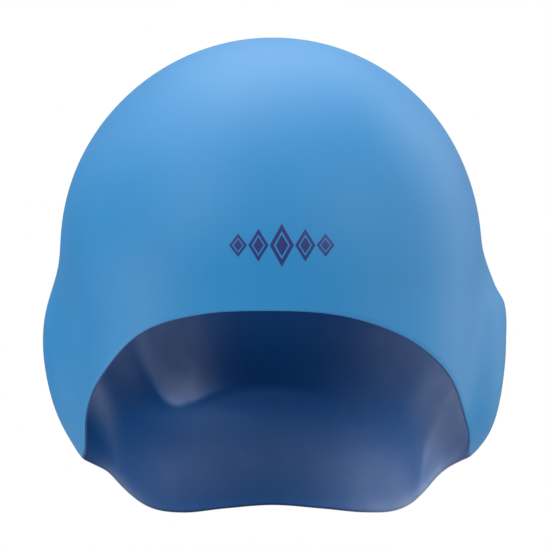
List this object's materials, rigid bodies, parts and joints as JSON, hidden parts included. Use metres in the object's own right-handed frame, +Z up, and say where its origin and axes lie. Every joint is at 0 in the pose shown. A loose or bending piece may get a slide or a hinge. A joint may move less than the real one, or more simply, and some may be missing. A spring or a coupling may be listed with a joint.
{
  "type": "swim cap",
  "caption": "Thin silicone swim cap for long hair, with a deep dome, a moulded pocket over each ear, a high forehead arch and a low nape flap; light blue outside, navy inside.",
  "frame": {"origin": "middle of the crown's inner face, where the cap rests on the top of the head", "axes": "+Z up through the crown, -Y towards the wearer's face, +X towards the wearer's left ear"},
  "size_m": [0.1816, 0.201, 0.1943],
  "materials": {
    "light_blue_silicone": "satin",
    "navy_silicone": "satin"
  },
  "bodies": {
    "root": {"outer_layer": "light_blue_silicone", "inner_layer": "navy_silicone"}
  },
  "joints": []
}
